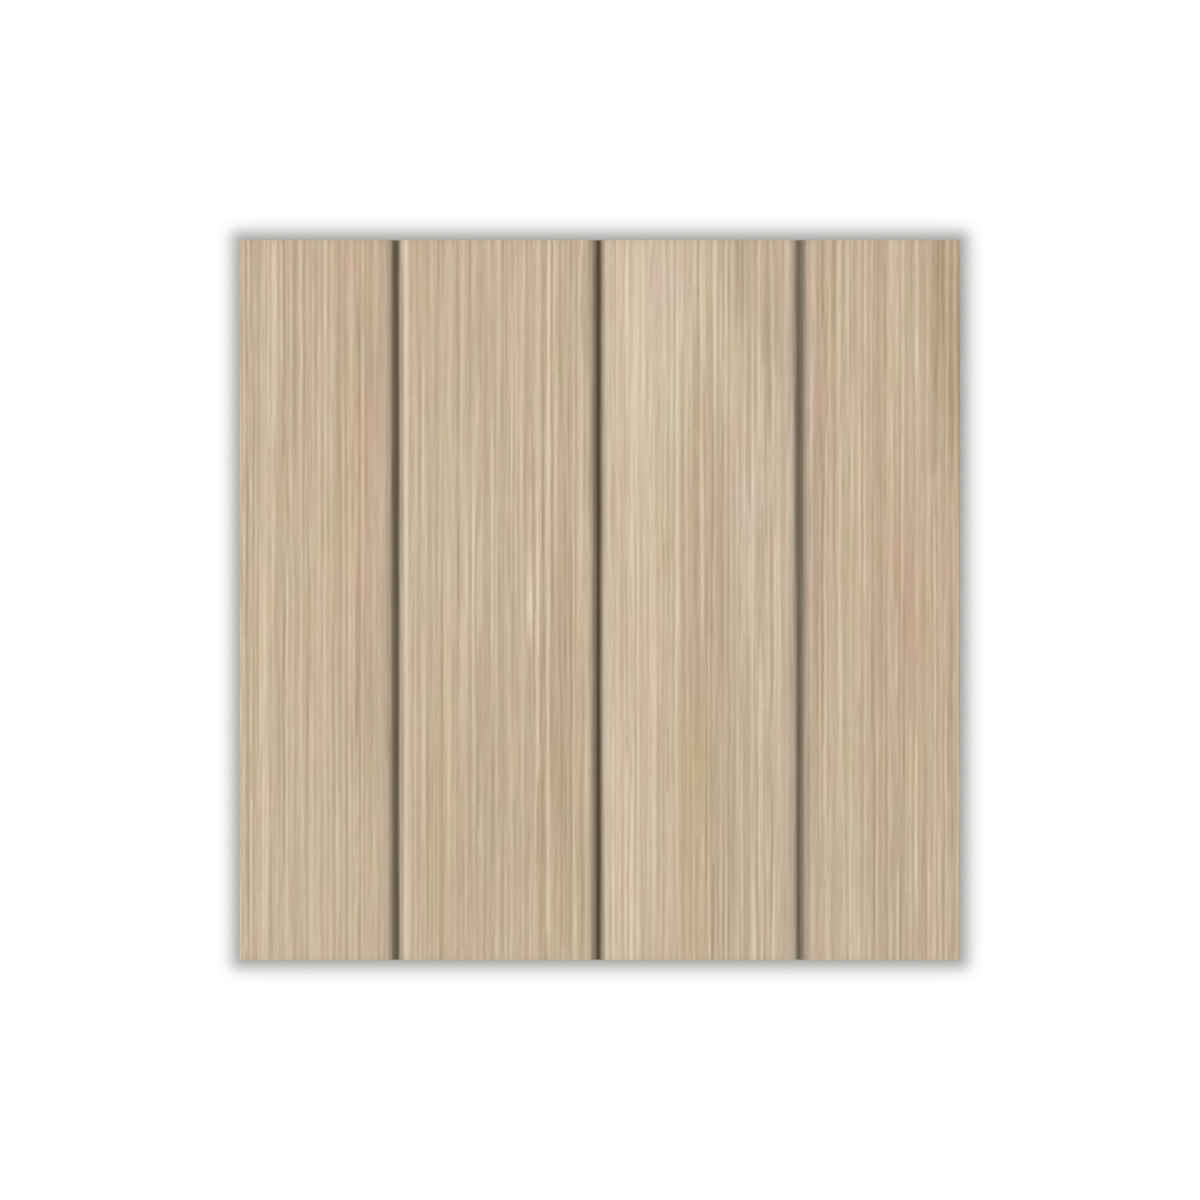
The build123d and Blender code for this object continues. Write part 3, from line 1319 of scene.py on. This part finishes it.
@dataclass
class PorcelainTile:
    """The whole tile as one closed mesh: the face, four edges with arris and bevel, and the keyed back."""

    low: Array
    high: Array
    bevel: float = 1.2 * MILLIMETRE
    flat_map: FlatMap = FlatMap()

    def __post_init__(self) -> None:
        """Take the face and the back from the tile's outer size."""
        self.side = float(self.high[0] - self.low[0])
        self.top = float(self.high[2])
        self.face = DeckFace(self.side, self.top)
        self.back = KeyedBack(self.side)

    def build(self) -> bpy.types.Object:
        """Make the mesh, its printed fields and its finishes.

        Returns:
            The tile's object, riding on the frame in place of its solid.
        """
        builder = MeshBuilder()
        u, v = self.face.sheet()
        rim = self._rim(self._add_face(builder, u, v))
        foot = self._add_edges(builder, rim)
        self._add_back(builder, foot)
        mesh = builder.mesh("porcelain_tile_mesh")
        self._add_fields(mesh, u, v, rim)
        mesh.materials.append(PrintedGlaze().material())
        mesh.materials.append(BareBody().material(self.top))
        tile = bpy.data.objects.new("deck_board_tile", mesh)
        bpy.context.scene.collection.objects.link(tile)
        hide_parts(TILE_NODE)
        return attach(tile, "root")

    def _add_face(self, builder: MeshBuilder, u: Array, v: Array) -> Array:
        """Add the walking face as a sheet of four-cornered faces.

        Args:
            builder: The mesh in the making.
            u: Parameter across the boards.
            v: Parameter along the boards.

        Returns:
            Numbers of the face's points, by row and column.
        """
        numbers = builder.add_points(np.stack([u, v, self.face.relief(u, v)], axis=-1))
        maps = grid_maps(*self.flat_map.on_face(u, v, self.face.edge))
        builder.add_faces(grid_faces(numbers), maps, Zone.GLAZE, flat=False)
        return numbers

    @staticmethod
    def _rim(numbers: Array) -> list[Array]:
        """Outer points of a grid as four sides, counter-clockwise, each ending where the next starts."""
        return [numbers[0, :], numbers[:, -1], numbers[-1, ::-1], numbers[::-1, 0]]

    def _add_edges(self, builder: MeshBuilder, rim: list[Array]) -> list[Array]:
        """Add arris, wall and bevel as rings round the tile, each a square of its own size and height.

        Args:
            builder: The mesh in the making.
            rim: Numbers of the face's outer points, side by side.

        Returns:
            Numbers of the lowest ring's points, side by side.
        """
        half = self.side / 2
        loop = np.concatenate([side[:-1] for side in rim])
        points = np.concatenate(builder.points)[loop]
        plan = points[:, :2] / self.face.edge
        level = np.ones(len(loop))
        outlines = [
            (half, np.minimum(points[:, 2], self.top - self.face.arris)),
            (half, self.bevel * level),
            (half - self.bevel, 0 * level),
        ]
        rings = [loop]
        for reach, height in outlines:
            rings.append(builder.add_points(np.column_stack([plan * reach, height])))
        ends = np.cumsum([0] + [len(side) - 1 for side in rim])
        foot = []
        for number, (first, last) in enumerate(zip(ends[:-1], ends[1:])):
            steps = np.arange(first, last + 1) % len(loop)
            self._add_edge(builder, number, [ring[steps] for ring in rings])
            foot.append(rings[-1][steps])
        return foot

    def _add_edge(self, builder: MeshBuilder, number: int, lines: list[Array]) -> None:
        """Add one edge as strips between its lines of points, with glaze on the arris alone.

        Args:
            builder: The mesh in the making.
            number: Number of the edge.
            lines: Numbers of the points along each ring, from the face down.
        """
        along, levels = self.flat_map.on_edge(number, len(lines[0]))
        zones = [Zone.GLAZE] + [Zone.BODY] * (len(lines) - 2)
        for upper, lower, high, low, zone in zip(lines[:-1], lines[1:], levels[:-1], levels[1:], zones):
            height = np.repeat([[low], [high]], len(along), axis=1)
            maps = grid_maps(np.stack([along, along]), height)
            builder.add_faces(grid_faces(np.stack([lower, upper])), maps, zone, flat=True)

    def _add_back(self, builder: MeshBuilder, foot: list[Array]) -> None:
        """Add the pockets as a grid, and the plain margin as four faces between the grid and the lowest ring.

        Args:
            builder: The mesh in the making.
            foot: Numbers of the lowest ring's points, side by side.
        """
        points = self.back.sheet()
        numbers = builder.add_points(points)
        maps = grid_maps(*self.flat_map.on_back(points, self.side))
        builder.add_faces(grid_faces(numbers)[:, ::-1], maps[:, ::-1], Zone.BODY, flat=True)
        all_points = np.concatenate(builder.points)
        for outer, inner in zip(foot, self._rim(numbers)):
            face = np.concatenate([inner, outer[::-1]])
            maps = np.column_stack(self.flat_map.on_back(all_points[face], self.side))
            builder.add_faces(face[None, :], maps, Zone.BODY, flat=True)

    def _add_fields(self, mesh: bpy.types.Mesh, u: Array, v: Array, rim: list[Array]) -> None:
        """Give each point its fields of print, painted groove shade and painted highlight:
        the face's own, carried onto the arris from the rim.

        Args:
            mesh: The tile's mesh.
            u: Parameter across the boards for the face's points.
            v: Parameter along the boards.
            rim: Numbers of the face's outer points, side by side.
        """
        # Beside the print, the groove fields are painted shade and a painted highlight
        fields = {
            "grain": self.face.grain(u, v),
            "blush": self.face.blush(u, v),
            "warmth": self.face.warmth(u, v),
            "painted_groove_shade": self.face.painted_groove_shade(u),
            "painted_highlight_line": self.face.painted_highlight_line(u),
        }
        loop = np.concatenate([side[:-1] for side in rim])
        for name, values in fields.items():
            whole = np.zeros(len(mesh.vertices), dtype=np.float32)
            whole[:values.size] = values.ravel()
            whole[values.size:values.size + len(loop)] = values.ravel()[loop]
            mesh.attributes.new(name, "FLOAT", "POINT").data.foreach_set("value", whole)


@dataclass(frozen=True)
class Studio:
    """Plain pale floor with a painted shadow, even soft light with a little more from the left, a camera
    straight above.

    Attributes:
        frame_width: Width of the picture's frame at the face.
        lens: Focal length of the camera, in millimetres.
        sensor: Width of its sensor, in millimetres.
        level: Light on a level face, where 1 shows a colour as it is written.
        sky: Part of that light that comes from all round.
        lamp_height: Angle of the lamp above the floor.
        lamp_spread: Angle over which its light is spread.
        floor_side: Side of the floor.
        floor_drop: How far the floor lies below the tile's back.
        floor_shadow_reach: Width of the painted soft shadow round the tile.
        painted_floor_shadow: Strength of that painted shadow at the tile's foot.
    """

    frame_width: float = 1.0
    lens: float = 100.0
    sensor: float = 36.0
    level: float = 1.015
    sky: float = 0.76
    lamp_height: float = math.radians(48)
    lamp_spread: float = math.radians(40)
    floor_side: float = 40.0
    floor_drop: float = 0.1 * MILLIMETRE
    floor_shadow_reach: float = 8.0 * MILLIMETRE
    painted_floor_shadow: float = 0.51

    def build(self, side: float, top: float) -> None:
        """Set up camera, light and floor.

        Args:
            side: Side of the square that stands on the floor.
            top: Height of the face that the camera is set on.
        """
        self._camera(top)
        self._sky()
        self._lamp()
        self._floor(side)
        bpy.context.scene.view_settings.view_transform = "Standard"

    def _camera(self, top: float) -> None:
        """Put the camera straight above the middle, so far that the frame's width is met at the face.

        Args:
            top: Height of the face.
        """
        data = bpy.data.cameras.new("plan_camera")
        data.lens, data.sensor_width = self.lens, self.sensor
        camera = bpy.data.objects.new("plan_camera", data)
        camera.location = (0, 0, top + self.frame_width * self.lens / self.sensor)
        bpy.context.scene.collection.objects.link(camera)
        bpy.context.scene.camera = camera

    def _sky(self) -> None:
        """Light from all round, shown as plain white where it is seen directly or in a reflection."""
        world = bpy.data.worlds.new("studio_sky")
        bpy.context.scene.world = world
        world.use_nodes = True
        nodes = NodeSheet(world.node_tree)
        path = nodes.add("ShaderNodeLightPath", {}, {})
        seen = path.out("Is Camera Ray") + path.out("Is Glossy Ray") + path.out("Is Transmission Ray")
        strength = self.sky + seen.clipped(0, 1) * (1 - self.sky)
        sky = nodes.add("ShaderNodeBackground", {}, {"Color": (1, 1, 1, 1), "Strength": strength})
        nodes.add("ShaderNodeOutputWorld", {}, {"Surface": sky.out("Background")})

    def _lamp(self) -> None:
        """A wide soft lamp from the left that brings a level face up to plain brightness, with no shadow."""
        data = bpy.data.lights.new("side_lamp", "SUN")
        data.energy = math.pi * (self.level - self.sky) / math.sin(self.lamp_height)
        data.angle = self.lamp_spread
        data.use_shadow = False
        lamp = bpy.data.objects.new("side_lamp", data)
        lamp.rotation_euler = (0, self.lamp_height - math.pi / 2, 0)
        bpy.context.scene.collection.objects.link(lamp)

    def _floor(self, side: float) -> None:
        """A white floor with a painted soft contact shadow: a bell in its colour over the distance from the
        tile's foot.

        Args:
            side: Side of the square that stands on the floor.
        """
        half = self.floor_side / 2
        corners = [(-half, -half), (half, -half), (half, half), (-half, half)]
        mesh = bpy.data.meshes.new("studio_floor")
        mesh.from_pydata([(*corner, -self.floor_drop) for corner in corners], [], [(0, 1, 2, 3)])
        material, nodes = new_material("white_floor_painted_shadow")
        beyond = nodes.vector_math("ABSOLUTE", nodes.position())
        beyond = nodes.vector_math("SUBTRACT", beyond, (side / 2, side / 2, 0.0))
        beyond = nodes.vector_math("MAXIMUM", beyond, (0.0, 0.0, 0.0))
        distance = nodes.add("ShaderNodeVectorMath", {"operation": "LENGTH"}, {0: beyond}).out("Value")
        # Painted shadow: the floor's colour darkens in a bell over the distance from the tile's foot
        fall = math.e ** (distance * distance * (-0.5 / self.floor_shadow_reach ** 2))
        light = 1 - self.painted_floor_shadow * fall
        nodes.show("ShaderNodeBsdfDiffuse", {"Color": nodes.vector(light, light, light)})
        mesh.materials.append(material)
        floor = bpy.data.objects.new("studio_floor", mesh)
        bpy.context.scene.collection.objects.link(floor)


def main() -> None:
    """Build the tile and its studio, in order, and report each piece."""
    logging.basicConfig(level=logging.INFO, format="%(name)s: %(message)s")
    low, high = (np.array(corner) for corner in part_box(TILE_NODE))
    tile = PorcelainTile(low, high)
    piece = tile.build()
    LOG.info("%s has %d points and %d faces", piece.name, len(piece.data.vertices), len(piece.data.polygons))
    Studio().build(tile.side, tile.top)
    LOG.info("studio is set over a face at %.1f mm", tile.top / MILLIMETRE)


if __name__ == "__main__":
    main()
